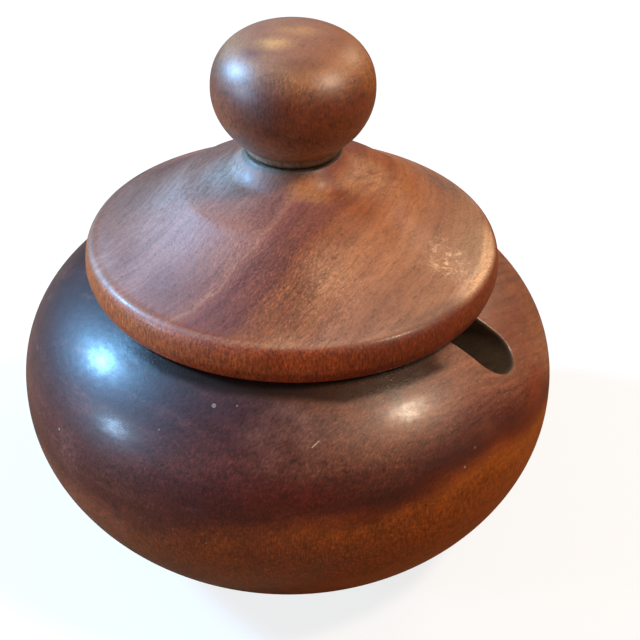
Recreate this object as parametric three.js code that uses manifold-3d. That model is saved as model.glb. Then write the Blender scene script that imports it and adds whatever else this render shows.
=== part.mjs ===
// Turned wooden pot with a loose lid, a ball knob glued into the lid, and a spoon groove in its lip.
// Millimetres, +Z up. The origin is the centre of the flat base, and the groove lies towards +X.

import * as THREE from 'three';
import { mergeVertices } from 'three/addons/utils/BufferGeometryUtils.js';
import Module from 'manifold-3d';

// Pot body, outside
const POT_RADIUS = 65;
const BASE_RADIUS = 32.5;
const BELLY_HEIGHT = 41.1;
const SEAT_HEIGHT = 71.5;
const SEAT_RADIUS = 45.6;
const SHOULDER_FULLNESS = 2.32;
const UNDERSIDE_FULLNESS = 1.96;

// Pot body, inside
const WALL_THICKNESS = 11;
const FLOOR_THICKNESS = 12;
const SEAT_WIDTH = 9.1;
const LIP_HEIGHT = 15;
const HOLLOW_FULLNESS = 2.2;

// Spoon groove through the lip, with a round bottom
const GROOVE_WIDTH = 10.6;
const GROOVE_DEPTH = 9.9;
const GROOVE_SKEW = THREE.MathUtils.degToRad(15);
const GROOVE_TILT = THREE.MathUtils.degToRad(5);

// Lid: a cone with a rounded rim, a crown and a flare that carries the knob
const LID_OVERHANG = 2.8;
const RIM_HEIGHT = 9.1;
const RIM_UNDERCUT = 0.7;
const RIM_ROUNDING = 1.5;
const LID_HEIGHT = 29.9;
const CONE_HOLLOW = 0.6;
const CROWN_RADIUS = 25.4;
const CROWN_DROP = 8.4;
const FLARE_RADIUS = 16.3;
const FLARE_DROP = 4.9;

// Spigot under the lid, with a shallow dished recess inside it
const SPIGOT_DEPTH = 3.5;
const SPIGOT_CLEARANCE = 0.8;
const SPIGOT_WALL = 6.7;
const SPIGOT_CHAMFER = 0.8;
const RECESS_RISE = 5;

// Knob: a ball on a short neck, with a tenon in the lid
const KNOB_RADIUS = 18.1;
const KNOB_LOWER_RISE = 12.7;
const KNOB_UPPER_RISE = 13.7;
const KNOB_LOWER_FULLNESS = 1.96;
const KNOB_UPPER_FULLNESS = 2.6;
const NECK_RADIUS = 10.6;
const NECK_HEIGHT = 1.7;
const NECK_LEDGE = 0.45;
const TENON_RADIUS = 6;
const TENON_LENGTH = 14;

// Fits: the lid rests on the seat, and a film of glue surrounds the tenon
const REST_GAP = 0.3;
const GLUE_GAP = 0.3;

// Smoothness of the round shapes
const POT_SEGMENTS = 60;
const KNOB_SEGMENTS = 48;
const ARC_STEPS = 9;
const SHORT_ARC_STEPS = 3;
const RECESS_STEPS = 5;

// Sizes that follow from the ones above
const MOUTH_RADIUS = SEAT_RADIUS - SEAT_WIDTH;
const LID_RADIUS = SEAT_RADIUS + LID_OVERHANG;
const SPIGOT_RADIUS = MOUTH_RADIUS - SPIGOT_CLEARANCE;
const KNOB_SEAT_RADIUS = NECK_RADIUS + NECK_LEDGE;

const wasm = await Module();
wasm.setup();

const point = (radius, height) => new THREE.Vector2(radius, height);

/** Points from a widest ring to an end ring along a superellipse, both rings included. */
function fullArc(widest, end, fullness) {
  const power = 2 / fullness;
  const lastAngle = Math.acos((end.x / widest.x) ** (1 / power));
  const fullRise = (end.y - widest.y) / Math.sin(lastAngle) ** power;
  const points = [];
  for (let step = 0; step < ARC_STEPS; step += 1) {
    const angle = (lastAngle * step) / ARC_STEPS;
    const radius = widest.x * Math.cos(angle) ** power;
    const height = widest.y + fullRise * Math.sin(angle) ** power;
    points.push(point(radius, height));
  }
  return [...points, end];
}

/** Points along a smooth bend from start to end that is pulled towards a corner. */
function bend(start, corner, end, steps = SHORT_ARC_STEPS) {
  return new THREE.QuadraticBezierCurve(start, corner, end).getPoints(steps);
}

/** A closed solid from a geometry whose triangles share no vertices yet. */
function solidFrom(geometry) {
  geometry.deleteAttribute('normal');
  geometry.deleteAttribute('uv');
  const merged = mergeVertices(geometry);
  const corners = merged.index.array;
  const kept = [];
  for (let i = 0; i < corners.length; i += 3) {
    const [a, b, c] = corners.slice(i, i + 3);
    if (a !== b && b !== c && c !== a) {
      kept.push(a, b, c);
    }
  }
  const vertProperties = merged.attributes.position.array;
  const triVerts = Uint32Array.from(kept);
  return new wasm.Manifold(new wasm.Mesh({ numProp: 3, vertProperties, triVerts }));
}

/** A solid of revolution about +Z from an outline that starts and ends on the axis. */
function turned(outline, segments) {
  return solidFrom(new THREE.LatheGeometry(outline, segments).rotateX(Math.PI / 2));
}

/** A named mesh of a finished solid. */
function namedMesh(name, solid, material) {
  const { vertProperties, triVerts } = solid.getMesh();
  const geometry = new THREE.BufferGeometry();
  geometry.setAttribute('position', new THREE.BufferAttribute(vertProperties, 3));
  geometry.setIndex(new THREE.BufferAttribute(triVerts, 1));
  geometry.computeVertexNormals();
  const mesh = new THREE.Mesh(geometry, material);
  mesh.name = name;
  return mesh;
}

/** The pot's outline: base, belly, shoulder, seat, lip, hollow and floor. */
function potOutline() {
  const belly = point(POT_RADIUS, BELLY_HEIGHT);
  const base = point(BASE_RADIUS, 0);
  const seatEdge = point(SEAT_RADIUS, SEAT_HEIGHT);
  const mouth = point(MOUTH_RADIUS, SEAT_HEIGHT);
  const lipEnd = point(MOUTH_RADIUS, SEAT_HEIGHT - LIP_HEIGHT);
  const hollowWidest = point(POT_RADIUS - WALL_THICKNESS, BELLY_HEIGHT);
  const floor = point(0, FLOOR_THICKNESS);
  return [
    point(0, 0),
    ...fullArc(belly, base, UNDERSIDE_FULLNESS).reverse(),
    ...fullArc(belly, seatEdge, SHOULDER_FULLNESS).slice(1),
    mouth,
    ...fullArc(hollowWidest, lipEnd, HOLLOW_FULLNESS).reverse(),
    ...fullArc(hollowWidest, floor, HOLLOW_FULLNESS).slice(1),
  ];
}

/** The cutter of the spoon groove: round below, open above, from inside the mouth to past the belly. */
function grooveCutter() {
  const radius = GROOVE_WIDTH / 2;
  const length = 2 * POT_RADIUS;
  const section = new THREE.Shape();
  section.moveTo(radius, GROOVE_DEPTH);
  section.lineTo(-radius, GROOVE_DEPTH);
  section.lineTo(-radius, 0);
  section.absarc(0, 0, radius, Math.PI, 2 * Math.PI, false);
  section.closePath();
  const cutter = new THREE.ExtrudeGeometry(section, {
    depth: length,
    bevelEnabled: false,
    curveSegments: 2 * ARC_STEPS,
  });
  const outward = new THREE.Matrix4().makeBasis(
    new THREE.Vector3(0, 1, 0),
    new THREE.Vector3(0, 0, 1),
    new THREE.Vector3(1, 0, 0),
  );
  const pivotRadius = (SEAT_RADIUS + POT_RADIUS) / 2;
  const reachInwards = pivotRadius - MOUTH_RADIUS / 2;
  return cutter
    .applyMatrix4(outward)
    .translate(-reachInwards, 0, 0)
    .rotateY(-GROOVE_TILT)
    .rotateZ(GROOVE_SKEW)
    .translate(pivotRadius, 0, SEAT_HEIGHT - GROOVE_DEPTH + radius);
}

/** The pot body: the turned bowl with the groove cut through its lip. */
function potBody(material) {
  const bowl = turned(potOutline(), POT_SEGMENTS);
  return namedMesh('pot_body', bowl.subtract(solidFrom(grooveCutter())), material);
}

/** The lid's outline, with its underside at height 0 and the hole for the tenon in its top. */
function lidOutline() {
  const recessRadius = SPIGOT_RADIUS - SPIGOT_WALL;
  const recessTop = point(0, RECESS_RISE);
  const recessEdge = point(recessRadius, -SPIGOT_DEPTH);
  const recessCorner = point(recessRadius / 2, RECESS_RISE);
  const rimBottom = point(LID_RADIUS - RIM_UNDERCUT, RIM_UNDERCUT);
  const rimWidest = point(LID_RADIUS, RIM_HEIGHT - 2 * RIM_ROUNDING);
  const rimTop = point(LID_RADIUS - RIM_ROUNDING, RIM_HEIGHT);
  const crown = point(CROWN_RADIUS, LID_HEIGHT - CROWN_DROP);
  const coneMiddle = point((rimTop.x + crown.x) / 2, (rimTop.y + crown.y) / 2 - 2 * CONE_HOLLOW);
  const flareFoot = point(FLARE_RADIUS, LID_HEIGHT - FLARE_DROP);
  const knobSeat = point(KNOB_SEAT_RADIUS, LID_HEIGHT);
  const flareCorner = point(KNOB_SEAT_RADIUS + (FLARE_RADIUS - KNOB_SEAT_RADIUS) / 2, flareFoot.y);
  const holeRadius = TENON_RADIUS + GLUE_GAP;
  const holeBottom = LID_HEIGHT - TENON_LENGTH - GLUE_GAP;
  return [
    ...bend(recessTop, recessCorner, recessEdge, RECESS_STEPS),
    point(SPIGOT_RADIUS - SPIGOT_CHAMFER, -SPIGOT_DEPTH),
    point(SPIGOT_RADIUS, SPIGOT_CHAMFER - SPIGOT_DEPTH),
    point(SPIGOT_RADIUS, 0),
    point(rimBottom.x - RIM_UNDERCUT, 0),
    rimBottom,
    ...bend(rimWidest, point(LID_RADIUS, RIM_HEIGHT), rimTop),
    ...bend(rimTop, coneMiddle, crown).slice(1),
    ...bend(flareFoot, flareCorner, knobSeat),
    point(holeRadius, LID_HEIGHT),
    point(holeRadius, holeBottom),
    point(0, holeBottom),
  ];
}

/** The knob's outline, with the foot of its neck at height 0 and the tenon below it. */
function knobOutline() {
  const neckTop = point(NECK_RADIUS, NECK_HEIGHT);
  const widest = point(KNOB_RADIUS, NECK_HEIGHT + KNOB_LOWER_RISE);
  const top = point(0, widest.y + KNOB_UPPER_RISE);
  return [
    point(0, -TENON_LENGTH),
    point(TENON_RADIUS, -TENON_LENGTH),
    point(TENON_RADIUS, 0),
    point(NECK_RADIUS, 0),
    ...fullArc(widest, neckTop, KNOB_LOWER_FULLNESS).reverse(),
    ...fullArc(widest, top, KNOB_UPPER_FULLNESS).slice(1),
  ];
}

/** A waxed wood of one colour. */
function wood(color, roughness) {
  return new THREE.MeshStandardMaterial({ color, roughness, metalness: 0 });
}

/** The lid with its knob, standing on the lid's underside. */
function lidWithKnob() {
  const group = new THREE.Group();
  group.add(namedMesh('lid', turned(lidOutline(), POT_SEGMENTS), wood(0x8a4a2a, 0.42)));
  const knob = namedMesh('knob', turned(knobOutline(), KNOB_SEGMENTS), wood(0x7a3517, 0.35));
  knob.position.z = LID_HEIGHT + GLUE_GAP;
  group.add(knob);
  return group;
}

const pot = new THREE.Group();
pot.add(potBody(wood(0x6a3018, 0.35)));

const lid = lidWithKnob();
lid.position.z = SEAT_HEIGHT + REST_GAP;
pot.add(lid);

export default pot;
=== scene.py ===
import math

import bmesh
import bpy
import numpy as np
from mathutils import Matrix, Vector


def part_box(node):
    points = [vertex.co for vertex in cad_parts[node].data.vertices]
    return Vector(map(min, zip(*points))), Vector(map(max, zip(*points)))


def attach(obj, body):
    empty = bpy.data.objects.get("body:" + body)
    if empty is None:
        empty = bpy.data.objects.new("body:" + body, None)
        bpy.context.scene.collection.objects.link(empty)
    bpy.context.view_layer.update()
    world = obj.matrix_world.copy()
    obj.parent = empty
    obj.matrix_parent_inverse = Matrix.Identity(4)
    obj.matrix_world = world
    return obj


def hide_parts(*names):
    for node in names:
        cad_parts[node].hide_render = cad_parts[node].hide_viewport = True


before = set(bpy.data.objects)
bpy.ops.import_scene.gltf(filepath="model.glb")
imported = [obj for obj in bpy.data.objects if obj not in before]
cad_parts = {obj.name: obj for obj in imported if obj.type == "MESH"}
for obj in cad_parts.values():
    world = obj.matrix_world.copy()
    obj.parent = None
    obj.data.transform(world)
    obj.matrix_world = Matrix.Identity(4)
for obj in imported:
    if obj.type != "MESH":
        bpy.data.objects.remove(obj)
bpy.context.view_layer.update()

MM = 0.001

# Sizes from the frame, in metres
_, pot_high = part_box("pot_body")
lid_low, lid_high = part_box("lid")
knob_low, knob_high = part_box("knob")
POT_RADIUS = pot_high.x
SEAT_HEIGHT = pot_high.z
LID_RADIUS = lid_high.x
LID_TOP = lid_high.z
KNOB_RADIUS = knob_high.x
KNOB_TOP = knob_high.z

# Pot body
BASE_RADIUS = POT_RADIUS / 2
BELLY_HEIGHT = 41.1 * MM
SEAT_RADIUS = 45.6 * MM
MOUTH_RADIUS = 36.5 * MM
LIP_HEIGHT = 15 * MM
WALL = 11 * MM
FLOOR_THICKNESS = 12 * MM
SHOULDER_FULLNESS = 2.32
UNDERSIDE_FULLNESS = 1.96
HOLLOW_FULLNESS = 2.2

# Spoon groove
GROOVE_RADIUS = 5.3 * MM
GROOVE_DEPTH = 9.9 * MM
GROOVE_SKEW = math.radians(15)
GROOVE_TILT = math.radians(5)
GROOVE_EDGE = 0.9 * MM

# Lid
LID_HEIGHT = 29.9 * MM
LID_UNDERSIDE = LID_TOP - LID_HEIGHT
RIM_HEIGHT = 9.1 * MM
RIM_UNDERCUT = 0.7 * MM
RIM_ROUNDING = 3.0 * MM
CONE_HOLLOW = 0.6 * MM
CROWN_RADIUS = 25.4 * MM
CROWN_DROP = 8.4 * MM
FLARE_RADIUS = 16.3 * MM
FLARE_DROP = 4.9 * MM
SPIGOT_DEPTH = LID_UNDERSIDE - lid_low.z
SPIGOT_RADIUS = 35.7 * MM
SPIGOT_WALL = 6.7 * MM
SPIGOT_CHAMFER = 0.8 * MM
RECESS_RISE = 5 * MM

# Knob
NECK_RADIUS = 10.6 * MM
NECK_HEIGHT = 1.7 * MM
NECK_LEDGE = 0.45 * MM
KNOB_LOWER_RISE = 12.7 * MM
KNOB_LOWER_FULLNESS = 1.96
KNOB_UPPER_FULLNESS = 2.35
TENON_RADIUS = 6 * MM
TENON_LENGTH = 14 * MM
TENON_PLAY = 0.3 * MM

# The loose lid sits a little to one side in the mouth, and the knob a little askew in the lid
LID_SLIP = (0.55 * MM, -0.40 * MM, -0.20 * MM)
KNOB_SLIP = (0.30 * MM, -0.40 * MM, -0.20 * MM)
KNOB_FOOT = knob_low.z + TENON_LENGTH

# Fineness of the meshes
FINE_STEP = 0.1 * MM
LID_SEGMENTS = 320
KNOB_SEGMENTS = 192
LID_RING_GAP = 1.2 * MM
KNOB_RING_GAP = 0.7 * MM
POT_RING_GAP = 1 * MM
POT_CELL = 1.1 * MM
FIELD_STEP = 0.25 * MM
FIELD_MARGIN = 4 * MM
SLOPE_STEP = 0.05 * MM
GROOVE_BAND = 2.2 * MM
MOUTH_BAND = 1.6 * MM
EDGE_SOFTNESS = 0.35 * MM

# Camera, as the photograph was taken
CAMERA_AT = Vector((0.1263, -0.2069, 0.2257))
CAMERA_TARGET = Vector((0.0064, 0.0039, 0.0541))
CAMERA_ROLL = 0.0269
CAMERA_LENS = 67.5
FRONT_TURN = math.radians(31.4)


# Outlines

def arc(widest, end, fullness, steps=60):
    """Points from a widest ring to an end ring along a superellipse, both rings included."""
    power = 2 / fullness
    last = math.acos((end[0] / widest[0]) ** (1 / power))
    rise = (end[1] - widest[1]) / math.sin(last) ** power
    angle = np.linspace(0, last, steps)
    radius = widest[0] * np.cos(angle) ** power
    height = widest[1] + rise * np.sin(angle) ** power
    return np.stack([radius, height], 1)


def bend(start, corner, end, steps=16):
    """Points along a smooth bend from start to end that is pulled towards a corner."""
    t = np.linspace(0, 1, steps)[:, None]
    start, corner, end = map(np.array, (start, corner, end))
    return (1 - t) ** 2 * start + 2 * t * (1 - t) * corner + t**2 * end


def evenly(outline, step):
    """The outline with points at even steps along it."""
    outline = np.array(outline, float)
    length = np.concatenate([[0], np.cumsum(np.linalg.norm(np.diff(outline, axis=0), axis=1))])
    at = np.linspace(0, length[-1], max(2, round(length[-1] / step)))
    return np.stack([np.interp(at, length, outline[:, i]) for i in (0, 1)], 1)


def softened(outline, softness):
    """The outline with its corners rounded, evenly spaced; it starts and ends on the axis."""
    fine = evenly(outline, FINE_STEP)
    reach = int(4 * softness / FINE_STEP)
    mirror = np.array([-1, 1])
    padded = np.concatenate([
        fine[reach:0:-1] * mirror,
        fine,
        fine[-2:-reach - 2:-1] * mirror,
    ])
    offset = np.arange(-reach, reach + 1) * FINE_STEP
    weight = np.exp(-0.5 * (offset / softness) ** 2)
    weight /= weight.sum()
    soft = np.stack([np.convolve(padded[:, i], weight, "valid") for i in (0, 1)], 1)
    soft[0, 0] = soft[-1, 0] = 0
    return soft


def thinned(outline, longest, turn=math.radians(5)):
    """The outline with only the points that its bends need, and none further apart than longest."""
    kept = [0]
    step = np.diff(outline, axis=0)
    heading = np.unwrap(np.arctan2(step[:, 1], step[:, 0]))
    for i in range(1, len(outline) - 1):
        far = np.linalg.norm(outline[i] - outline[kept[-1]]) >= longest
        bent = abs(heading[i] - heading[kept[-1]]) >= turn
        if far or bent:
            kept.append(i)
    kept.append(len(outline) - 1)
    return outline[kept]


def pot_outline():
    belly = (POT_RADIUS, BELLY_HEIGHT)
    hollow = (POT_RADIUS - WALL, BELLY_HEIGHT)
    return np.concatenate([
        [(0, 0)],
        arc(belly, (BASE_RADIUS, 0), UNDERSIDE_FULLNESS)[::-1],
        arc(belly, (SEAT_RADIUS, SEAT_HEIGHT), SHOULDER_FULLNESS)[1:],
        [(MOUTH_RADIUS, SEAT_HEIGHT)],
        arc(hollow, (MOUTH_RADIUS, SEAT_HEIGHT - LIP_HEIGHT), HOLLOW_FULLNESS)[::-1],
        arc(hollow, (0, FLOOR_THICKNESS), HOLLOW_FULLNESS)[1:],
    ])


def lid_outline():
    recess = SPIGOT_RADIUS - SPIGOT_WALL
    rim_bottom = (LID_RADIUS - RIM_UNDERCUT, RIM_UNDERCUT)
    rim_widest = (LID_RADIUS, RIM_HEIGHT - 2 * RIM_ROUNDING)
    rim_top = (LID_RADIUS - RIM_ROUNDING, RIM_HEIGHT)
    crown = (CROWN_RADIUS, LID_HEIGHT - CROWN_DROP)
    middle = ((rim_top[0] + crown[0]) / 2, (rim_top[1] + crown[1]) / 2 - 2 * CONE_HOLLOW)
    flare = (FLARE_RADIUS, LID_HEIGHT - FLARE_DROP)
    seat = (NECK_RADIUS + NECK_LEDGE, LID_HEIGHT)
    corner = ((flare[0] + seat[0]) / 2, flare[1])
    hole = TENON_RADIUS + TENON_PLAY
    outline = np.concatenate([
        bend((0, RECESS_RISE), (recess / 2, RECESS_RISE), (recess, -SPIGOT_DEPTH)),
        [
            (SPIGOT_RADIUS - SPIGOT_CHAMFER, -SPIGOT_DEPTH),
            (SPIGOT_RADIUS, SPIGOT_CHAMFER - SPIGOT_DEPTH),
            (SPIGOT_RADIUS, 0),
            (rim_bottom[0] - RIM_UNDERCUT, 0),
            rim_bottom,
        ],
        bend(rim_widest, (LID_RADIUS, RIM_HEIGHT), rim_top),
        bend(rim_top, middle, crown)[1:],
        bend(flare, corner, seat),
        [
            (hole, LID_HEIGHT),
            (hole, LID_HEIGHT - TENON_LENGTH - TENON_PLAY),
            (0, LID_HEIGHT - TENON_LENGTH - TENON_PLAY),
        ],
    ])
    return outline + (0, LID_UNDERSIDE)


def knob_outline():
    widest = (KNOB_RADIUS, KNOB_FOOT + NECK_HEIGHT + KNOB_LOWER_RISE)
    neck = (NECK_RADIUS, KNOB_FOOT + NECK_HEIGHT)
    return np.concatenate([
        [
            (0, KNOB_FOOT - TENON_LENGTH),
            (TENON_RADIUS, KNOB_FOOT - TENON_LENGTH),
            (TENON_RADIUS, KNOB_FOOT),
            (NECK_RADIUS, KNOB_FOOT),
        ],
        arc(widest, neck, KNOB_LOWER_FULLNESS)[::-1],
        arc(widest, (0, KNOB_TOP), KNOB_UPPER_FULLNESS)[1:],
    ])


# Meshes

def add_mesh(name, places, faces):
    mesh = bpy.data.meshes.new(name)
    mesh.from_pydata(places, [], faces)
    mesh.update()
    mesh.shade_smooth()
    piece = bpy.data.objects.new(name, mesh)
    bpy.context.scene.collection.objects.link(piece)
    return piece


def turned(name, outline, segments):
    """A closed turned piece. Its outline runs from the axis outwards, up and back to the axis."""
    rings = outline[1:-1]
    angle = np.arange(segments) * 2 * math.pi / segments
    circle = np.stack([np.cos(angle), np.sin(angle)], 1)
    places = np.concatenate([
        [(0, 0, outline[0, 1])],
        *[np.column_stack([circle * r, np.full(segments, z)]) for r, z in rings],
        [(0, 0, outline[-1, 1])],
    ])
    faces = []
    last = len(places) - 1
    for i in range(segments):
        j = (i + 1) % segments
        faces.append((0, 1 + j, 1 + i))
        for ring in range(len(rings) - 1):
            low = 1 + ring * segments
            high = low + segments
            faces.append((low + i, low + j, high + j, high + i))
        top = 1 + (len(rings) - 1) * segments
        faces.append((top + i, top + j, last))
    return add_mesh(name, places.tolist(), faces)


class OutlineField:
    """Signed distance from an outline of revolution, negative inside, read from a fine table."""

    def __init__(self, outline, step):
        self.step = step
        self.low = outline.min(0) - FIELD_MARGIN
        size = np.ceil((outline.max(0) + FIELD_MARGIN - self.low) / step).astype(int) + 1
        self.table = np.zeros(size)
        heights = self.low[1] + np.arange(size[1]) * step
        start, along = outline[:-1], np.diff(outline, axis=0)
        length2 = (along**2).sum(1)
        for i in range(size[0]):
            radius = self.low[0] + i * step
            at = np.stack([np.full(size[1], radius), heights], 1)
            away = at[:, None] - start
            share = np.clip((away * along).sum(2) / length2, 0, 1)
            gap = np.linalg.norm(away - share[..., None] * along, axis=2).min(1)
            above = (start[:, 1] > at[:, 1:]) != (start[:, 1] + along[:, 1] > at[:, 1:])
            crossing = start[:, 0] + along[:, 0] * (at[:, 1:] - start[:, 1]) / np.where(
                along[:, 1] == 0, 1, along[:, 1]
            )
            inside = (above & (crossing > abs(radius))).sum(1) % 2 == 1
            self.table[i] = np.where(inside, -gap, gap)

    def __call__(self, places):
        at = np.stack([np.hypot(places[:, 0], places[:, 1]), places[:, 2]], 1)
        at = (at - self.low) / self.step
        at = np.clip(at, 0, np.array(self.table.shape) - 1.001)
        cell = at.astype(int)
        (u, v), (i, j) = (at - cell).T, cell.T
        t = self.table
        return (
            t[i, j] * (1 - u) * (1 - v)
            + t[i + 1, j] * u * (1 - v)
            + t[i, j + 1] * (1 - u) * v
            + t[i + 1, j + 1] * u * v
        )


def groove_field(places):
    """Signed distance from the groove's round-bottomed channel, negative inside it."""
    middle = (SEAT_RADIUS + POT_RADIUS) / 2
    pivot = np.array([middle, 0, SEAT_HEIGHT - GROOVE_DEPTH + GROOVE_RADIUS])
    flat = np.array([math.cos(GROOVE_SKEW), math.sin(GROOVE_SKEW), 0])
    side = np.array([-math.sin(GROOVE_SKEW), math.cos(GROOVE_SKEW), 0])
    upright = np.array([0, 0, 1])
    outward = flat * math.cos(GROOVE_TILT) + upright * math.sin(GROOVE_TILT)
    up = upright * math.cos(GROOVE_TILT) - flat * math.sin(GROOVE_TILT)
    away = places - pivot
    across, height, along = away @ side, away @ up, away @ outward
    round_part = np.hypot(across, np.minimum(height, 0))
    return np.maximum(round_part - GROOVE_RADIUS, -along - middle)


def carved(body, cut, edge):
    """The field of a body with a cut in it, whose edges are rounded."""

    def field(places):
        a, b = body(places), -cut(places)
        share = np.clip(0.5 + 0.5 * (a - b) / edge, 0, 1)
        return b + (a - b) * share + edge * share * (1 - share)

    return field


def gradient(field, places, step=SLOPE_STEP):
    """The field's slope at each place."""
    slopes = []
    for axis in np.eye(3) * step:
        slopes.append((field(places + axis) - field(places - axis)) / (2 * step))
    return np.stack(slopes, 1)


def skin(field, low, high, cell):
    """Places and four-cornered faces of the surface where the field is zero."""
    size = np.ceil((high - low) / cell).astype(int) + 1
    grid = np.stack(np.meshgrid(*[np.arange(n) for n in size], indexing="ij"), -1)
    values = field((low + grid.reshape(-1, 3) * cell)).reshape(size)
    corners = [np.array(c) for c in np.ndindex(2, 2, 2)]
    span = size - 1
    inside = np.stack([values[tuple(map(slice, c, c + span))] < 0 for c in corners], -1)
    mixed = inside.any(-1) & ~inside.all(-1)
    cells = np.argwhere(mixed)
    number = np.full(span, -1)
    number[mixed] = np.arange(len(cells))
    total, count = np.zeros((len(cells), 3)), np.zeros(len(cells))
    for a in corners:
        for axis in range(3):
            if a[axis]:
                continue
            b = a + np.eye(3, dtype=int)[axis]
            start = values[tuple((cells + a).T)]
            end = values[tuple((cells + b).T)]
            crossed = (start < 0) != (end < 0)
            share = np.where(crossed, start / np.where(crossed, start - end, 1), 0)
            total += np.where(crossed[:, None], a + share[:, None] * (b - a), 0)
            count += crossed
    places = low + (cells + total / count[:, None]) * cell
    faces = []
    for axis in range(3):
        u, v = (axis + 1) % 3, (axis + 2) % 3
        ends = [slice(1, n) for n in span]
        ends[axis] = slice(0, span[axis])
        first = values[tuple(ends)]
        ends[axis] = slice(1, span[axis] + 1)
        second = values[tuple(ends)]
        at = np.argwhere((first < 0) != (second < 0)) + [0 if i == axis else 1 for i in range(3)]
        leaving = values[tuple(at.T)] < 0
        step_u, step_v = np.eye(3, dtype=int)[u], np.eye(3, dtype=int)[v]
        around = [at - step_u - step_v, at - step_v, at, at - step_u]
        quads = np.stack([number[tuple(c.T)] for c in around], 1)
        quads[~leaving] = quads[~leaving, ::-1]
        faces.append(quads)
    return places, np.concatenate(faces)


def pulled(places, field, times=4):
    """The places moved onto the surface where the field is zero."""
    for _ in range(times):
        slope = gradient(field, places)
        steep = np.maximum((slope**2).sum(1), 0.05)
        places = places - slope * (field(places) / steep)[:, None]
    return places


def pot_mesh():
    outline = softened(pot_outline(), EDGE_SOFTNESS)
    body = OutlineField(thinned(outline, POT_RING_GAP), FIELD_STEP)
    field = carved(body, groove_field, GROOVE_EDGE)
    margin = 2.5 * POT_CELL
    low = np.array([-POT_RADIUS, -POT_RADIUS, 0]) - margin
    high = np.array([POT_RADIUS, POT_RADIUS, SEAT_HEIGHT]) + margin
    places, faces = skin(field, low, high, POT_CELL)
    piece = add_mesh("pot_body_wood", pulled(places, field).tolist(), faces.tolist())
    finer_edges(piece, field)
    return piece


def finer_edges(piece, field):
    """Smaller faces along the groove and the mouth, and the surface's own normals everywhere."""
    for _ in range(2):
        mesh = bmesh.new()
        mesh.from_mesh(piece.data)
        places = np.array([v.co for v in mesh.verts])
        groove = np.abs(groove_field(places)) < GROOVE_BAND
        radius = np.hypot(places[:, 0], places[:, 1])
        mouth = np.hypot(radius - MOUTH_RADIUS, places[:, 2] - SEAT_HEIGHT) < MOUTH_BAND
        near = {v for v, is_near in zip(mesh.verts, groove | mouth) if is_near}
        edges = [e for e in mesh.edges if e.verts[0] in near and e.verts[1] in near]
        bmesh.ops.subdivide_edges(mesh, edges=edges, cuts=1, use_grid_fill=True)
        mesh.to_mesh(piece.data)
        mesh.free()
        places = np.array([v.co for v in piece.data.vertices])
        piece.data.vertices.foreach_set("co", pulled(places, field).ravel())
    piece.data.update()
    piece.data.shade_smooth()
    places = np.array([v.co for v in piece.data.vertices])
    slope = gradient(field, places)
    slope /= np.linalg.norm(slope, axis=1)[:, None]
    piece.data.normals_split_custom_set_from_vertices(slope.tolist())


def turned_mesh(name, outline, ring_gap, segments):
    return turned(name, thinned(softened(outline, EDGE_SOFTNESS), ring_gap), segments)


pot = pot_mesh()
lid = turned_mesh("lid_wood", lid_outline(), LID_RING_GAP, LID_SEGMENTS)
knob = turned_mesh("knob_wood", knob_outline(), KNOB_RING_GAP, KNOB_SEGMENTS)

for piece, slip in ((lid, LID_SLIP), (knob, KNOB_SLIP)):
    piece.data.transform(Matrix.Rotation(FRONT_TURN, 4, "Z") @ Matrix.Translation(slip))

for piece, node, body in ((pot, "pot_body", "pot"), (lid, "lid", "lid"), (knob, "knob", "lid")):
    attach(piece, body)
    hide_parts(node)


# Wood materials: colours are linear, lengths in the patterns are millimetres

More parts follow.
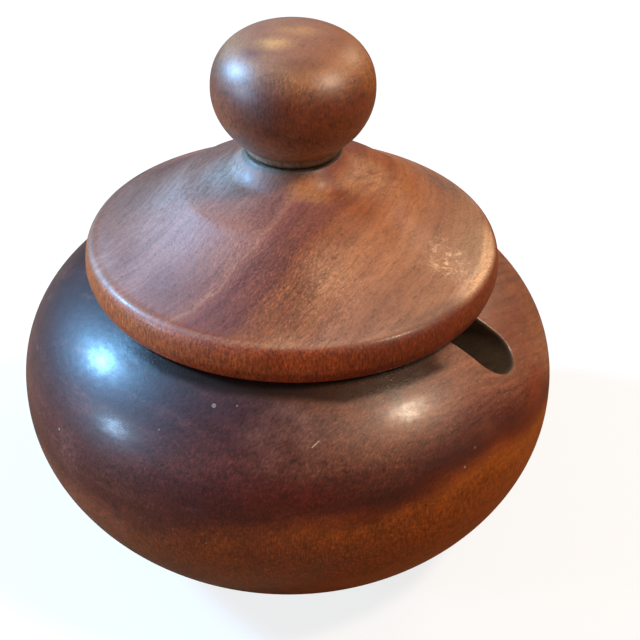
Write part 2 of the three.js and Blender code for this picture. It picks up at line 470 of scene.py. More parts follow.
class Graph:
    """A material's node tree. Sockets and plain numbers can be mixed freely as inputs."""

    def __init__(self, name):
        self.material = bpy.data.materials.new(name)
        self.material.use_nodes = True
        self.tree = self.material.node_tree
        self.tree.nodes.clear()

    def add(self, kind, inputs, output=0, **settings):
        made = self.tree.nodes.new("ShaderNode" + kind)
        for key, value in settings.items():
            setattr(made, key, value)
        for key, value in inputs.items():
            if isinstance(value, bpy.types.NodeSocket):
                self.tree.links.new(value, made.inputs[key])
            else:
                made.inputs[key].default_value = value
        return made.outputs[output] if output is not None else made

    def math(self, operation, *values):
        return self.add("Math", dict(enumerate(values)), operation=operation)

    def vector(self, operation, *values):
        return self.add("VectorMath", dict(enumerate(values)), operation=operation)

    def length(self, value):
        return self.add("VectorMath", {0: value}, output=1, operation="LENGTH")

    def scaled(self, value, factor):
        return self.add("VectorMath", {0: value, 3: factor}, operation="SCALE")

    def total(self, *values):
        result = values[0]
        for value in values[1:]:
            result = self.math("ADD", result, value)
        return result

    def times(self, *values):
        result = values[0]
        for value in values[1:]:
            result = self.math("MULTIPLY", result, value)
        return result

    def parts(self, value):
        made = self.tree.nodes.new("ShaderNodeSeparateXYZ")
        self.tree.links.new(value, made.inputs[0])
        return made.outputs[:3]

    def joined(self, x, y, z):
        return self.add("CombineXYZ", {0: x, 1: y, 2: z})

    def turned(self, value, angle, stretch=(1, 1, 1)):
        """The coordinates turned about Z by minus the angle, then stretched."""
        straight = self.add("Mapping", {"Vector": value, "Rotation": (0, 0, -angle)})
        return self.vector("MULTIPLY", straight, stretch)

    def noise(self, at, scale=1.0, detail=2.0, roughness=0.5, seed=0.0):
        """Noise from about -1 to 1."""
        shifted = self.vector("ADD", at, (seed, seed * 1.7, seed * -2.3)) if seed else at
        value = self.add("TexNoise", {
            "Vector": shifted,
            "Scale": scale,
            "Detail": detail,
            "Roughness": roughness,
        })
        return self.math("MULTIPLY_ADD", value, 4.0, -2.0)

    def ease(self, value, low, high):
        """A smooth step from 0 at low to 1 at high; low may be the larger one."""
        if low > high:
            return self.math("SUBTRACT", 1.0, self.ease(value, high, low))
        return self.add(
            "MapRange",
            {0: value, 1: low, 2: high, 3: 0.0, 4: 1.0},
            interpolation_type="SMOOTHSTEP",
        )

    def spot(self, at, centre, sizes, soft=1.0):
        """1 around a centre, fading to 0 at an ellipsoid's surface."""
        away = self.vector("DIVIDE", self.vector("SUBTRACT", at, centre), sizes)
        return self.ease(self.length(away), 1.0, 1.0 - soft)

    def mix(self, factor, first, second):
        """The first colour turning into the second one as the factor goes from 0 to 1."""
        colours = []
        for colour in (first, second):
            colours.append(colour if isinstance(colour, bpy.types.NodeSocket) else (*colour, 1))
        inputs = {0: factor, 6: colours[0], 7: colours[1]}
        return self.add("Mix", inputs, output=2, data_type="RGBA")

    def stroke(self, at, start, end, width):
        """1 along a thin stroke from start to end, 0 at its width away."""
        start, reach = Vector(start), Vector(end) - Vector(start)
        away = self.vector("SUBTRACT", at, start)
        measure = {0: away, 1: reach / reach.length_squared}
        share = self.add("VectorMath", measure, output=1, operation="DOT_PRODUCT")
        nearest = self.scaled(tuple(reach), self.add("Clamp", {0: share}))
        return self.ease(self.length(self.vector("SUBTRACT", away, nearest)), width, width / 3)

    def patched(self, colour, at, patches, cover):
        """The colour with soft patches of place, size, strength and tint, broken up by the cover."""
        for place, size, strength, tint in patches:
            colour = self.mix(self.times(self.spot(at, place, size), cover, strength), colour, tint)
        return colour

    def specked(self, colour, at, specks):
        """The colour with pale specks: place, radius and strength of each."""
        for place, radius, strength in specks:
            speck = self.times(self.spot(at, place, (radius,) * 3, 0.9), strength)
            colour = self.mix(speck, colour, PALE)
        return colour

    def ramp(self, value, stops):
        """The colour at a value, from a rising list of values with their colours."""
        low, high = stops[0][0], stops[-1][0]
        made = self.tree.nodes.new("ShaderNodeValToRGB")
        self.tree.links.new(self.add("MapRange", {0: value, 1: low, 2: high}), made.inputs[0])
        elements = made.color_ramp.elements
        for element, stop in ((elements[0], stops[0]), (elements[1], stops[-1])):
            element.color = (*stop[1], 1)
        for place, colour in stops[1:-1]:
            elements.new((place - low) / (high - low)).color = (*colour, 1)
        return made.outputs[0]

    def finish(self, colour, roughness, height, depth, coat, coat_roughness, gloss):
        """The surface shader, with a bump of that height pattern and depth in metres."""
        bump = self.add("Bump", {"Height": height, "Distance": depth, "Strength": 1.0})
        surface = self.add("BsdfPrincipled", {
            "Base Color": colour,
            "Roughness": roughness,
            "Normal": bump,
            "Coat Weight": coat,
            "Coat Roughness": coat_roughness,
            "Specular IOR Level": gloss,
        })
        self.add("OutputMaterial", {"Surface": surface}, output=None)
        return self.material


# Colours of the wood
GOLDEN = (0.30, 0.080, 0.008)
PURPLE_BROWN = (0.10, 0.028, 0.022)
DARK_PURPLE = (0.028, 0.005, 0.005)
DARK_RED = (0.10, 0.012, 0.006)
PALE = (0.50, 0.38, 0.28)
NECK_GRIME_AND_SHADE = (0.085, 0.060, 0.040)
STAIN = (0.030, 0.020, 0.008)

# Height of the line where the pot's dark wood meets the golden wood, at azimuths in degrees
MEETING = (
    (-180, 36.0),
    (-150, 39.0),
    (-128, 41.5),
    (-115, 43.2),
    (-103, 46.4),
    (-92, 49.2),
    (-81, 49.2),
    (-74, 48.2),
    (-66, 49.0),
    (-59, 50.8),
    (-52, 52.4),
    (-45, 53.2),
    (-38, 50.8),
    (-32, 48.8),
    (-22, 47.0),
    (-10, 39.0),
    (0, 35.5),
    (30, 33.5),
    (110, 33.0),
    (180, 36.0),
)

# Colours on the right of the pot, by millimetres above the meeting line
POT_RIGHT = (
    (-34, (0.21, 0.036, 0.004)),
    (-20, (0.20, 0.032, 0.003)),
    (-8, (0.20, 0.038, 0.003)),
    (-3, (0.25, 0.058, 0.005)),
    (-1, (0.17, 0.031, 0.004)),
    (1, (0.105, 0.013, 0.004)),
    (3, (0.070, 0.007, 0.004)),
    (5, (0.064, 0.007, 0.005)),
    (7.5, (0.105, 0.021, 0.012)),
    (10, (0.175, 0.056, 0.033)),
    (13, (0.225, 0.088, 0.052)),
    (19, (0.215, 0.080, 0.046)),
    (24, (0.18, 0.060, 0.033)),
)

# Colours on the left of the pot, by millimetres above the meeting line
POT_LEFT = (
    (-34, (0.12, 0.014, 0.004)),
    (-12, (0.16, 0.023, 0.005)),
    (-5, (0.17, 0.028, 0.008)),
    (-1, (0.13, 0.020, 0.009)),
    (2, (0.075, 0.009, 0.006)),
    (7, (0.070, 0.009, 0.007)),
    (13, (0.095, 0.018, 0.012)),
    (19, (0.050, 0.009, 0.008)),
    (26, (0.030, 0.006, 0.006)),
)

# Patches of another colour on the pot: place, size, strength and tint
POT_PATCHES = (
    ((-57, -18, 62), (8, 14, 6), 0.85, (0.035, 0.004, 0.004)),
    ((-52, -33, 55), (10, 14, 6), 0.6, (0.045, 0.006, 0.006)),
    ((-42, -44, 54), (10, 12, 5), 0.5, DARK_PURPLE),
    ((-27, -58, 46), (6, 9, 8), 0.6, DARK_RED),
    ((-16, -61, 50), (14, 9, 4.5), 0.65, (0.045, 0.004, 0.004)),
    ((-30, -47, 64), (22, 18, 7), 0.5, (0.030, 0.006, 0.007)),
    ((37, -50, 53.5), (16, 18, 4.5), 0.65, DARK_PURPLE),
    ((20, -60, 51.5), (11, 12, 4.0), 0.55, DARK_PURPLE),
    ((53, -25, 66), (13, 20, 9), 0.8, (0.13, 0.021, 0.006)),
    ((44, -46, 58), (12, 12, 4.5), 0.5, (0.16, 0.045, 0.022)),
    ((57, -27, 54), (9, 14, 8), 0.6, (0.18, 0.024, 0.006)),
    ((-30, -55, 41), (9, 9, 6), 0.8, (0.06, 0.007, 0.003)),
    ((-48, -40, 47), (9, 10, 8), 0.6, (0.20, 0.060, 0.045)),
    ((-14, -63, 40), (9, 9, 7), 0.6, (0.27, 0.058, 0.006)),
    ((0, -62, 54), (22, 9, 5), 0.65, (0.115, 0.011, 0.005)),
    ((-34, -52, 47), (14, 12, 4), 0.5, (0.17, 0.040, 0.020)),
)

# Patches placed above this height stay above the meeting line
HIGH_PATCH = 48

# Pale specks on the pot: place, radius and strength
POT_SPECKS = (
    ((-15.5, -49.8, 67.4), 0.72, 0.55),
    ((-10.7, -50.4, 67.9), 0.36, 0.35),
    ((-50.9, -38.5, 51.1), 0.55, 0.5),
    ((-27.0, -51.2, 62.0), 0.32, 0.35),
    ((-17.2, -62.7, 40.6), 0.38, 0.4),
    ((37.9, -51.0, 51.9), 0.50, 0.55),
    ((40.2, -47.9, 54.7), 0.55, 0.2),
    ((43.8, -46.5, 50.8), 0.36, 0.25),
    ((53.6, -18.1, 63.5), 0.45, 0.35),
)

# Colours across the lid, by millimetres from the middle of its curved rings
LID_RINGS = (
    (20, (0.20, 0.080, 0.052)),
    (36, (0.24, 0.092, 0.060)),
    (44, (0.27, 0.105, 0.070)),
    (51, (0.24, 0.085, 0.052)),
    (54.6, (0.20, 0.064, 0.038)),
    (56.4, (0.22, 0.070, 0.040)),
    (57.0, (0.32, 0.115, 0.060)),
    (57.7, (0.21, 0.058, 0.032)),
    (60, (0.17, 0.042, 0.025)),
    (62.5, (0.20, 0.051, 0.026)),
    (65, (0.18, 0.043, 0.021)),
    (67, (0.23, 0.058, 0.020)),
    (69, (0.27, 0.075, 0.022)),
    (71.5, (0.23, 0.060, 0.019)),
    (73.5, (0.29, 0.095, 0.035)),
    (76, (0.34, 0.125, 0.050)),
    (78, (0.27, 0.095, 0.045)),
    (80, (0.32, 0.130, 0.066)),
    (84, (0.25, 0.100, 0.055)),
    (90, (0.30, 0.135, 0.075)),
    (100, (0.25, 0.115, 0.070)),
)

# Patches of another colour on the lid: place, size, strength and tint; some are painted sheen,
# highlights, reflections and light
LID_PATCHES = (
    ((18, -25, 88), (13, 12, 14), 0.45, (0.40, 0.170, 0.080)),
    ((29, -20, 88), (10, 10, 14), 0.5, (0.38, 0.200, 0.120)),
    # Painted sheen on the crown's right
    ((16, -2, 95), (11, 14, 8), 0.85, (0.42, 0.235, 0.140)),
    ((28, -3, 92), (4.5, 15, 14), 0.85, (0.29, 0.090, 0.014)),
    ((21, -19, 92), (8, 4.5, 8), 0.6, (0.27, 0.085, 0.022)),
    ((42, -9, 83), (10, 28, 9), 0.7, (0.28, 0.165, 0.110)),
    # Painted highlight along the rim's top edge on the right
    ((45, -14, 80), (4.5, 24, 6), 0.6, (0.50, 0.34, 0.21)),
    # Painted reflection along the rim's top edge on the left
    ((-42, -22, 80), (7, 22, 5), 0.2, (0.42, 0.32, 0.28)),
    ((37, 18, 84), (11, 12, 8), 0.65, (0.13, 0.085, 0.075)),
    ((9, -30, 88), (9, 13, 7), 0.85, (0.50, 0.220, 0.105)),
    ((1, -42, 83), (8, 6, 6), 0.6, (0.19, 0.042, 0.012)),
    # Painted sheen over the lid's left, greyish
    ((-26, -6, 92), (17, 20, 20), 0.65, (0.34, 0.185, 0.145)),
    ((-14, -26, 90), (7, 11, 14), 0.45, (0.36, 0.135, 0.080)),
    ((-30, 22, 90), (13, 15, 20), 0.8, (0.10, 0.032, 0.028)),
    ((-28, -30, 85), (13, 8, 8), 0.75, (0.11, 0.024, 0.012)),
    ((-37, -20, 84), (7, 12, 8), 0.5, (0.17, 0.044, 0.020)),
    ((-6, -17, 92), (9, 6, 14), 0.55, (0.15, 0.048, 0.037)),
    ((-9, -24, 92), (8, 8, 8), 0.5, (0.38, 0.140, 0.085)),
    ((-12, -41, 82), (9, 7, 8), 0.65, (0.115, 0.028, 0.020)),
    # Painted light beside the knob's shadow, golden, right of the neck
    ((5, -13.5, 98), (9, 4.5, 8), 0.8, (0.40, 0.155, 0.045)),
    ((13, -9, 99), (5, 5, 8), 0.6, (0.42, 0.19, 0.08)),
    # Painted reflection on the flare left of the neck, pale grey
    ((-14, -3, 98), (10, 13, 9), 0.75, (0.33, 0.26, 0.215)),
    ((-12, -15, 97), (9, 5, 7), 0.6, (0.20, 0.105, 0.080)),
)

# Pale specks on the lid: place, radius and strength
LID_SPECKS = (
    ((-25.9, -31.8, 83.8), 0.40, 0.4),
    ((-14.7, -32.4, 86.8), 0.50, 0.5),
)

# Colours of the knob, by millimetres above its widest part
KNOB_LEVELS = (
    (-14.4, (0.25, 0.110, 0.052)),
    (-9, (0.25, 0.100, 0.045)),
    (-5, (0.19, 0.052, 0.018)),
    (-2, (0.150, 0.028, 0.008)),
    (3, (0.148, 0.028, 0.008)),
    (6, (0.20, 0.060, 0.021)),
    (8.5, (0.29, 0.115, 0.046)),
    (10.5, (0.28, 0.115, 0.055)),
    (12.0, (0.25, 0.098, 0.055)),
    (14, (0.27, 0.110, 0.058)),
)

# Patches of another colour on the knob: place, size, strength and tint
KNOB_PATCHES = (
    ((4, -15, 125), (8, 6, 3.4), 0.55, (0.31, 0.105, 0.022)),
    ((10, -9, 126), (8, 8, 4), 0.5, (0.33, 0.145, 0.060)),
    # Pale golden top: partly the wood's golden tone, partly a painted highlight
    ((-4, -7, 129), (7, 4, 2.0), 0.85, (0.50, 0.240, 0.085)),
    ((1, -2, 130.2), (8, 4, 2.0), 0.7, (0.46, 0.210, 0.075)),
    ((-6, -16, 119.5), (8, 12, 10), 0.8, PURPLE_BROWN),
    ((2, -13, 127), (9, 3.5, 1.9), 0.6, PURPLE_BROWN),
    ((-9, -9, 127.6), (6, 5, 2.2), 0.65, PURPLE_BROWN),
    ((12, -4, 129), (6, 5, 2.0), 0.45, PURPLE_BROWN),
    ((13.5, -11.5, 119.2), (5, 6, 2.6), 0.6, (0.09, 0.020, 0.012)),
    ((17, -5, 121.5), (6, 9, 5), 0.6, (0.30, 0.105, 0.014)),
    ((-15, -9, 114), (7, 10, 6), 0.6, (0.26, 0.060, 0.026)),
)

# Pale specks on the knob: place, radius and strength
KNOB_SPECKS = (
    ((7.2, -13.1, 126.0), 0.3, 0.4),
    ((1.1, -18.1, 116.4), 0.3, 0.4),
    ((-7.0, -7.5, 128.8), 0.3, 0.4),
)


def millimetres(graph):
    """Object coordinates in millimetres, turned so that -Y faces the photograph's camera."""
    at = graph.tree.nodes.new("ShaderNodeTexCoord").outputs["Object"]
    return graph.turned(graph.scaled(at, 1 / MM), FRONT_TURN)


def grain(graph, at, direction, seed):
    """Fine structure for a grain direction in degrees: fibres, rays, speckles, flecks and pores."""
    along = graph.turned(at, math.radians(direction))
    fibre = graph.noise(graph.vector("MULTIPLY", along, (0.10, 1.1, 1.1)), 1, 3, 0.6, seed=seed)
    ray = graph.noise(graph.vector("MULTIPLY", along, (1.6, 3.4, 0.5)), 1, 3, 0.65, seed=seed + 3)
    speck = graph.noise(at, 1.5, 4, 0.85, seed=seed + 5)
    light = graph.noise(graph.vector("MULTIPLY", along, (1.1, 3.0, 1.1)), 1, 2, 0.7, seed=seed + 9)
    light = graph.total(graph.ease(light, -0.2, 1.2), -0.3)
    pore = graph.noise(graph.vector("MULTIPLY", along, (0.4, 3.2, 3.2)), 1, 1, 0.5, seed=seed + 7)
    return fibre, ray, speck, light, graph.ease(pore, 0.35, 0.9)


def in_groove(graph, at):
    """1 on the walls of the spoon groove, 0 on the rest of the pot."""
    middle = (SEAT_RADIUS + POT_RADIUS) / 2 / MM
    middle_height = (SEAT_HEIGHT - GROOVE_DEPTH + GROOVE_RADIUS) / MM
    turn = -FRONT_TURN
    pivot = (middle * math.cos(turn), middle * math.sin(turn), middle_height)
    away = graph.turned(graph.vector("SUBTRACT", at, pivot), turn + GROOVE_SKEW)
    along, across, up = graph.parts(away)
    rise = graph.total(
        graph.times(up, math.cos(GROOVE_TILT)),
        graph.times(along, -math.sin(GROOVE_TILT)),
    )
    reach = graph.length(graph.joined(0.0, across, graph.math("MINIMUM", rise, 0.0)))
    wall = GROOVE_RADIUS / MM
    return graph.times(graph.ease(reach, wall + 0.5, wall + 0.05), graph.ease(along, -20.0, -19.0))


def in_hollow(graph, at):
    """1 on the walls of the pot's hollow, 0 on the rest of the pot."""
    x, y, z = graph.parts(at)
    bowl = graph.vector("DIVIDE", graph.vector("SUBTRACT", at, (0, 0, 41)), (57, 57, 33))
    bowl = graph.ease(graph.length(bowl), 1.08, 1.0)
    mouth = MOUTH_RADIUS / MM
    lip = graph.ease(graph.length(graph.joined(x, y, 0.0)), mouth + 0.7, mouth + 0.3)
    return graph.math("MAXIMUM", bowl, graph.times(lip, graph.ease(z, 48, 52)))


def pot_marks(graph, colour, at, speck):
    """The colour with the crack at the lip, the scratch and the pale specks."""
    smudge = graph.stroke(at, (19.0, -43.5, 70.1), (22.6, -47.4, 67.4), 2.6)
    smudge = graph.times(smudge, graph.ease(speck, -1.4, 0.8), 0.55)
    colour = graph.mix(smudge, colour, (0.045, 0.026, 0.014))
    crack = graph.math(
        "MAXIMUM",
        graph.stroke(at, (20.4, -43.5, 70.1), (21.6, -45.8, 68.5), 0.6),
        graph.stroke(at, (21.6, -45.8, 68.5), (23.6, -47.4, 66.9), 0.4),
    )
    colour = graph.mix(graph.times(crack, graph.ease(speck, -0.8, 0.8), 0.8), colour, STAIN)
    scratch = graph.stroke(at, (4.8, -57.2, 62.6), (6.2, -56.2, 63.5), 0.13)
    colour = graph.mix(scratch, colour, PALE)
    for place, radius, strength in POT_SPECKS:
        shape = graph.total(graph.spot(at, place, (radius,) * 3, 0.9), graph.times(speck, 0.1))
        shape = graph.times(shape, strength, graph.ease(shape, 0.1, 0.5))
        colour = graph.mix(shape, colour, PALE)
    return graph.mix(graph.spot(at, POT_SPECKS[0][0], (0.3,) * 3), colour, STAIN)


def pot_wood():
    """Dark purple-brown above, golden below, with a darker band where they meet."""
    g = Graph("pot_wood")
    at = millimetres(g)
    x, y, z = g.parts(at)
    fibre, ray, speck, light, pore = grain(g, at, 48, 11)
    azimuth = g.math("DEGREES", g.math("ARCTAN2", y, x))
    meeting = g.ramp(azimuth, [(place, (height / 100,) * 3) for place, height in MEETING])
    wander = g.noise(at, 0.035, 2, 0.5, seed=2)
    blotch = g.noise(g.vector("MULTIPLY", at, (1, 1, 0.7)), 0.16, 3, 0.55, seed=4)
    lobe = g.noise(g.vector("MULTIPLY", at, (0.6, 0.6, 1.6)), 0.12, 3, 0.6, seed=8)
    lobes = g.times(lobe, g.ease(x, 60, 10), 2.6)
    level = g.total(z, g.times(meeting, -100.0), g.times(wander, 0.8), lobes)
    feathered = g.total(level, g.times(ray, 1.1), g.times(speck, 0.9), g.times(fibre, 0.8))

    # Colours by height above the meeting line
    right = g.ramp(feathered, POT_RIGHT)
    left = g.ramp(feathered, POT_LEFT)
    across = g.total(x, g.times(blotch, 5.0), g.times(fibre, 3.0))
    colour = g.mix(g.ease(across, -14, 22), left, right)

    # Golden and pink strokes below the line, dark blotches and smears above it
    below = g.ease(level, 1.0, -2.5)
    strokes = g.ease(g.total(ray, g.times(speck, 0.7), g.times(g.ease(x, 0, 50), 0.7)), -0.2, 1.3)
    strokes = g.times(strokes, below, g.ease(level, -30, -8), g.ease(x, -45, -5))
    colour = g.mix(g.times(strokes, 0.45), colour, GOLDEN)
    pink = g.times(g.ease(g.total(ray, blotch), -0.8, 1.4), below, g.ease(x, -18, -38))
    colour = g.mix(g.times(pink, 0.45), colour, (0.22, 0.060, 0.034))
    patches = g.times(g.ease(blotch, 0.0, 0.8), g.ease(level, -7.0, 0.0), g.ease(level, 15.0, 5.0))
    colour = g.mix(g.times(patches, g.ease(x, 10, -25), 0.65), colour, DARK_PURPLE)
    smears = g.turned(at, math.radians(-38))
    smears = g.noise(g.vector("MULTIPLY", smears, (0.05, 0.22, 0.35)), 1, 3, 0.6, seed=15)
    smears = g.times(g.ease(smears, 0.1, 1.2), g.ease(x, -6, -26), g.ease(z, 38, 48))
    colour = g.mix(g.times(smears, 0.6), colour, (0.16, 0.044, 0.032))
    dark = g.noise(g.turned(at, math.radians(-30), (0.07, 0.2, 0.3)), 1, 4, 0.65, seed=29)
    dark = g.times(g.ease(dark, 0.0, 1.0), g.ease(x, 0, -24), g.ease(z, 42, 50))
    colour = g.mix(g.times(dark, 0.6), colour, (0.022, 0.005, 0.006))

    # Patches and the plain wood of the hollow
    cover = g.ease(g.total(blotch, lobe, fibre), -1.8, 0.6)
    high_cover = g.times(cover, g.total(0.25, g.times(g.ease(level, -2.0, 1.5), 0.75)))
    for patch in POT_PATCHES:
        colour = g.patched(colour, at, [patch], high_cover if patch[0][2] > HIGH_PATCH else cover)
    hollow = in_hollow(g, at)
    colour = g.mix(g.times(hollow, 0.85), colour, (0.115, 0.036, 0.017))

    # Growth rings, fine lines and flecks
    rings = g.total(z, g.times(x, -0.40), g.times(y, 0.75), g.times(wander, 2.0))
    lines = g.joined(g.times(rings, 0.55), g.times(x, 0.03), g.times(y, 0.03))
    lines = g.noise(lines, 1, 4, 0.7, seed=9)
    fine = g.turned(at, math.radians(40))
    fine = g.noise(g.vector("MULTIPLY", fine, (0.06, 1.6, 1.6)), 1, 2, 0.6, seed=17)
    fleck = g.noise(g.turned(at, math.radians(48), (0.5, 1, 1)), 0.6, 3, 0.7, seed=23)
    shade = g.total(
        1.0,
        g.times(fibre, 0.17),
        g.times(ray, g.total(0.12, g.times(below, 0.16))),
        g.times(speck, 0.30),
        g.times(light, g.total(0.2, g.times(g.ease(x, -60, -25), g.ease(x, 50, 20), 0.6))),
        g.times(fleck, 0.13),
        g.times(lines, g.total(0.15, g.times(g.ease(x, 10, 45), g.ease(level, 2, 12), 0.26))),
        g.times(fine, g.ease(x, 10, -20), 0.32),
        g.times(blotch, 0.16),
        g.times(pore, -0.25),
    )
    colour = g.scaled(colour, shade)

    # Painted shadow under the lid's rim, marks, and painted shade inside the groove
    # The lid rim's shadow is painted onto the shoulder as a dark ring, reaching lower on the front
    # right; there the wood is also smoother and has no coat
    wider = g.times(g.ease(azimuth, -92, -76), g.ease(azimuth, -40, -50))
    painted_rim_shadow = g.times(
        g.ease(g.total(z, g.times(speck, 0.15), g.times(blotch, 0.3), wider), 68.6, 69.9),
        g.ease(g.total(azimuth, g.times(blotch, 5.0)), -150, -128),
        g.ease(g.total(azimuth, g.times(blotch, 3.0)), -38, -54),
    )
    rim_shadow_colour = g.mix(wider, (0.012, 0.006, 0.005), (0.028, 0.008, 0.003))
    colour = g.mix(g.times(painted_rim_shadow, 0.94), colour, rim_shadow_colour)
    colour = pot_marks(g, colour, at, speck)
    # The groove's walls are painted near-black, as shade inside the recess
    groove = in_groove(g, at)
    inside = g.mix(g.ease(blotch, -1.0, 1.2), (0.010, 0.007, 0.003), (0.030, 0.017, 0.007))
    colour = g.mix(g.times(groove, 0.94), colour, g.scaled(inside, shade))

    # Wax and wear
    mottle = g.noise(g.vector("MULTIPLY", at, (0.45, 0.45, 0.9)), 1, 3, 0.6, seed=21)
    mottle = g.ease(mottle, -1.0, 1.0)
    dull = g.math("MAXIMUM", g.math("MAXIMUM", groove, painted_rim_shadow), hollow)
    roughness = g.total(g.times(speck, 0.03), g.times(blotch, 0.04), g.times(groove, 0.2), 0.49)
    roughness = g.total(roughness, g.times(painted_rim_shadow, -0.22), g.times(hollow, 0.12))
    height = g.total(g.times(pore, -0.2), g.times(speck, 0.08), g.times(fibre, 0.08))
    height = g.total(height, g.times(mottle, 0.7))
    coat = g.times(g.total(g.times(mottle, 0.18), 0.13), g.math("SUBTRACT", 1.0, dull))
    return g.finish(colour, roughness, height, 0.025 * MM, coat, 0.23, 0.32)


def lid_wood():
    """Rose-brown with soft curved streaks across the top, redder round the rim."""
    g = Graph("lid_wood")
    at = millimetres(g)
    x, y, z = g.parts(at)
    fibre, ray, speck, light, pore = grain(g, at, 52, 31)
    wander = g.noise(at, 0.04, 2, 0.5, seed=3)
    blotch = g.noise(at, 0.15, 3, 0.55, seed=6)
    radial = g.length(g.joined(x, y, 0.0))
    ring = g.length(g.joined(g.total(x, 48.0), g.total(y, -14.0), 0.0))
    ring = g.total(ring, g.times(wander, 1.6), g.times(blotch, 0.7))
    colour = g.ramp(g.total(ring, g.times(fibre, 0.35), g.times(speck, 0.35)), LID_RINGS)
    colour = g.patched(colour, at, LID_PATCHES, g.ease(g.total(fibre, blotch), -2.4, 0.4))

    # Lines along the curved rings
    along, _, _ = g.parts(g.turned(at, math.radians(52)))
    lines = g.noise(g.joined(ring, g.times(along, 0.035), 0.0), 1, 4, 0.75, seed=12)
    thin = g.noise(g.joined(g.times(ring, 3.2), g.times(along, 0.05), 0.0), 1, 2, 0.6, seed=18)
    dark_lines = g.noise(g.joined(g.times(ring, 0.45), g.times(along, 0.02), 0.0), seed=24)
    dark_lines = g.ease(dark_lines, 0.5, 1.4)
    colour = g.mix(g.times(dark_lines, 0.35), colour, (0.12, 0.032, 0.026))

    # Redder rim with upright pores
    side = g.ease(g.total(radial, g.times(g.math("SUBTRACT", 79.5, z), 0.35)), 46.5, 47.6)
    rim = g.mix(g.ease(blotch, -1.3, 1.3), (0.165, 0.022, 0.003), (0.25, 0.045, 0.007))
    rim = g.mix(g.times(g.ease(x, 0, 22), 0.8), rim, (0.105, 0.016, 0.003))
    rim = g.mix(g.times(g.ease(x, -15, -32), 0.6), rim, (0.31, 0.060, 0.012))
    upright = g.joined(g.times(x, 2.4), g.times(y, 2.4), g.times(z, 0.6))
    upright = g.noise(upright, 1, 3, 0.7, seed=27)
    rim = g.mix(g.times(g.ease(upright, -0.3, 0.9), 0.9), rim, g.scaled(rim, 2.1))
    rim = g.mix(g.times(g.ease(upright, 0.0, -1.0), 0.9), rim, g.scaled(rim, 0.35))
    colour = g.mix(side, colour, rim)

    # Pale line and brighter patch painted on the rim's edge as highlights, the edge darker in front,
    # and grime with painted shade round the neck
    # A thin pale line painted round the rim's top edge as its highlight
    edge = g.times(g.ease(radial, 45.9, 46.5), g.ease(radial, 47.5, 46.9), g.ease(z, 77.0, 79.0))
    colour = g.mix(g.times(edge, g.ease(speck, -1.2, 0.6), 0.3), colour, (0.42, 0.16, 0.07))
    # A brighter highlight painted on the right of the rim's edge
    edge = g.times(g.ease(radial, 44.3, 46.0), g.ease(radial, 48.5, 47.2), g.ease(z, 76.0, 78.5))
    painted_edge_highlight = g.times(edge, g.spot(at, (43, -17, 79.5), (14, 24, 7), 0.7), g.ease(speck, -2.0, 0.5))
    colour = g.mix(g.times(painted_edge_highlight, 0.65), colour, (0.78, 0.50, 0.32))
    dull = g.times(edge, g.spot(at, (31, -36, 80), (15, 12, 6), 0.7))
    colour = g.mix(g.times(dull, 0.45), colour, (0.10, 0.040, 0.024))
    # The lid round the knob's neck is darker and greyer: grime, with painted shade under the knob
    neck = g.times(g.ease(radial, 12.0, 11.3), g.ease(z, 99.6, 101.0))
    colour = g.mix(g.times(neck, 0.75), colour, NECK_GRIME_AND_SHADE)

    # Fine grain, specks, and glints painted into the colour as highlights
    fleck = g.noise(g.turned(at, math.radians(52), (0.6, 1, 1)), 0.55, 3, 0.7, seed=23)
    shade = g.total(
        1.0,
        g.times(fibre, 0.10),
        g.times(ray, 0.13),
        g.times(speck, 0.24),
        g.times(light, g.total(0.10, g.spot(at, (-1, -32, 86), (26, 34, 20)))),
        g.times(fleck, 0.13),
        g.times(lines, g.math("SUBTRACT", 1.0, side), 0.20),
        g.times(thin, g.math("SUBTRACT", 1.0, side), 0.14),
        g.times(pore, -0.30),
    )
    colour = g.scaled(colour, shade)
    colour = g.specked(colour, at, LID_SPECKS)
    # Pale glints painted into the colour as highlights near the rim on the right
    painted_glints = g.noise(g.turned(at, math.radians(30), (0.6, 1, 1)), 0.55, 4, 0.75, seed=33)
    painted_glints = g.times(g.spot(at, (35, -19, 84), (9, 9, 7)), g.ease(painted_glints, 0.0, 0.8))
    colour = g.mix(g.times(painted_glints, 0.9), colour, (0.90, 0.68, 0.46))

    # Wax and wear
    mottle = g.ease(g.noise(at, 1.4, 3, 0.7, seed=22), -0.6, 1.4)
    roughness = g.total(g.times(speck, 0.03), g.times(blotch, 0.04), 0.54)
    height = g.total(g.times(pore, -0.25), g.times(speck, 0.12), g.times(lines, 0.12), mottle)
    coat = g.total(0.04, g.times(mottle, g.ease(radial, 34, 41), 0.30))
    return g.finish(colour, roughness, height, 0.03 * MM, coat, 0.25, 0.35)


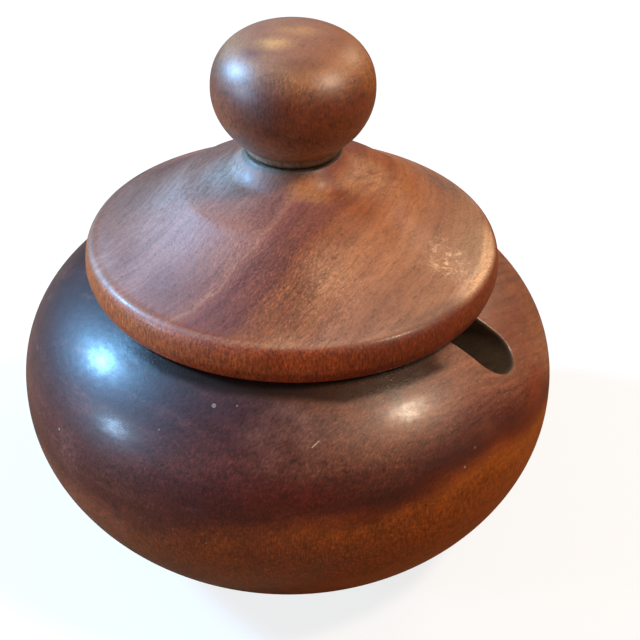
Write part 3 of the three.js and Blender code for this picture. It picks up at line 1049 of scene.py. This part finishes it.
def knob_wood():
    """Golden on top, red-brown below the widest part, with purple patches."""
    g = Graph("knob_wood")
    at = millimetres(g)
    x, _, z = g.parts(at)
    fibre, ray, speck, light, pore = grain(g, at, 60, 51)
    widest = (KNOB_FOOT + NECK_HEIGHT + KNOB_LOWER_RISE) / MM
    blotch = g.noise(g.vector("MULTIPLY", at, (1, 1, 1.6)), 0.16, 3, 0.55, seed=14)
    swirl = g.noise(g.vector("MULTIPLY", at, (0.7, 1.2, 1.0)), 0.22, 3, 0.6, seed=19)
    level = g.total(z, g.times(blotch, 0.9), g.times(ray, 0.4), g.times(x, 0.03), -widest)
    level = g.total(level, g.times(swirl, g.ease(z, 122, 127), 0.7))
    colour = g.ramp(level, KNOB_LEVELS)
    colour = g.patched(colour, at, KNOB_PATCHES, g.ease(g.total(blotch, swirl), -2.4, 0.6))

    # Neck, seam and fine grain
    # The neck under the knob is painted greyer and a little darker: grime with painted shade
    neck = g.ease(z, KNOB_FOOT / MM + 2.4, KNOB_FOOT / MM + 1.5)
    colour = g.mix(g.times(neck, 0.7), colour, (0.15, 0.105, 0.072))
    body = g.ease(z, 128, 122)
    seam = g.ease(z, KNOB_FOOT / MM + 0.55, KNOB_FOOT / MM + 0.2)
    colour = g.mix(g.times(seam, 0.8), colour, STAIN)
    shade = g.total(
        1.0,
        g.times(fibre, g.total(0.08, g.times(body, 0.20))),
        g.times(ray, g.total(0.14, g.times(body, 0.30))),
        g.times(speck, g.total(0.18, g.times(body, 0.18))),
        g.times(light, body, 0.5),
        g.times(swirl, g.total(0.05, g.times(body, 0.20))),
        g.times(pore, -0.25),
    )
    colour = g.scaled(colour, shade)
    colour = g.specked(colour, at, KNOB_SPECKS)
    roughness = g.total(g.times(speck, 0.03), g.times(blotch, 0.03), 0.48)
    height = g.total(g.times(pore, -0.25), g.times(speck, 0.12), g.times(ray, 0.1))
    coat = g.total(0.22, g.times(speck, 0.04))
    return g.finish(colour, roughness, height, 0.03 * MM, coat, 0.42, 0.5)


for piece, material, slot in (
    (pot, pot_wood(), "pot_wood"),
    (lid, lid_wood(), "lid_wood"),
    (knob, knob_wood(), "knob_wood"),
):
    piece.data.materials.append(material)


# Floor and background; the floor turns white towards its far part
FLOOR_BOUNCE = (0.32, 0.14, 0.055)
FLOOR_SEEN = (0.85, 0.85, 0.85)
FLOOR_WHITE = 0.8
FLOOR_NEAR = 0.2
FLOOR_FAR = 0.9
FLOOR_HALF = 4.0
FLOOR_DROP = 0.1 * MM
ROOM_STRENGTH = 0.3
ROOM_TONE = (1.0, 0.78, 0.58)


def floor_material():
    """Pale where the camera sees it, warm brown in the light that it throws onto the object."""
    g = Graph("pale_floor")
    camera = g.tree.nodes.new("ShaderNodeLightPath").outputs["Is Camera Ray"]
    paint = g.mix(camera, FLOOR_BOUNCE, FLOOR_SEEN)
    matte = g.add("BsdfDiffuse", {"Color": paint})
    white = g.add("Emission", {"Color": (1, 1, 1, 1), "Strength": 1.0})
    output = g.tree.nodes.new("ShaderNodeOutputMaterial")
    at = g.tree.nodes.new("ShaderNodeTexCoord").outputs["Object"]
    far = g.ease(g.length(at), FLOOR_NEAR, FLOOR_FAR)
    share = g.total(FLOOR_WHITE, g.times(far, 1 - FLOOR_WHITE))
    mixed = g.add("MixShader", {0: g.times(camera, share), 1: matte, 2: white})
    g.tree.links.new(mixed, output.inputs["Surface"])
    return g.material


corners = ((-1, -1), (1, -1), (1, 1), (-1, 1))
floor_corners = [(x * FLOOR_HALF, y * FLOOR_HALF, 0) for x, y in corners]
floor = add_mesh("floor", floor_corners, [(0, 1, 2, 3)])
floor.location.z = -FLOOR_DROP
floor.data.materials.append(floor_material())

world = bpy.data.worlds.new("studio")
bpy.context.scene.world = world
world.use_nodes = True
nodes, links = world.node_tree.nodes, world.node_tree.links
backdrop = nodes["Background"]
path = nodes.new("ShaderNodeLightPath")
strength = nodes.new("ShaderNodeMapRange")
links.new(path.outputs["Is Camera Ray"], strength.inputs["Value"])
strength.inputs["To Min"].default_value = ROOM_STRENGTH
strength.inputs["To Max"].default_value = 1.0
links.new(strength.outputs[0], backdrop.inputs["Strength"])
tone = nodes.new("ShaderNodeMix")
tone.data_type = "RGBA"
tone.inputs[6].default_value = (*ROOM_TONE, 1)
tone.inputs[7].default_value = (1, 1, 1, 1)
links.new(path.outputs["Is Camera Ray"], tone.inputs[0])
links.new(tone.outputs[2], backdrop.inputs["Color"])


# Lamps: each shines at the pot from an azimuth and elevation in degrees, seen in the camera's frame

LAMP_DISTANCE = 0.9
LAMP_AIM = Vector((0, 0, 0.06))


def lamp(name, azimuth, elevation, width, height, radiance, colour):
    data = bpy.data.lights.new(name, "AREA")
    data.shape = "RECTANGLE"
    data.size, data.size_y = width, height
    data.energy = radiance * math.pi * width * height
    data.color = colour
    made = bpy.data.objects.new(name, data)
    bpy.context.scene.collection.objects.link(made)
    a, e = math.radians(azimuth) + FRONT_TURN, math.radians(elevation)
    away = Vector((math.cos(a) * math.cos(e), math.sin(a) * math.cos(e), math.sin(e)))
    made.location = LAMP_AIM + away * LAMP_DISTANCE
    made.rotation_mode = "QUATERNION"
    made.rotation_quaternion = away.to_track_quat("Z", "Y")
    return made


lamp("window", 168, 30, 0.13, 0.16, 370.0, (0.22, 0.56, 1.0))
lamp("window_low", -162, 12, 0.115, 0.115, 135.0, (0.40, 0.68, 1.0))
shine = lamp("room_shine", -27, 43, 0.10, 0.10, 270.0, (1.0, 0.82, 0.62))
shine.visible_diffuse = False
fill = lamp("room_high", -24, 57, 0.12, 0.12, 142.0, (1.0, 0.80, 0.60))
fill.visible_glossy = False
lamp("room_back", 41, 32, 0.16, 0.14, 26.0, (1.0, 0.80, 0.58))

# Camera
camera = bpy.data.objects.new("camera", bpy.data.cameras.new("camera"))
bpy.context.scene.collection.objects.link(camera)
bpy.context.scene.camera = camera
camera.data.sensor_width = 36
camera.data.lens = CAMERA_LENS
camera.location = CAMERA_AT
camera.rotation_euler = (CAMERA_TARGET - CAMERA_AT).to_track_quat("-Z", "Y").to_euler()
camera.rotation_euler.rotate_axis("Z", CAMERA_ROLL)

bpy.context.scene.view_settings.view_transform = "Standard"
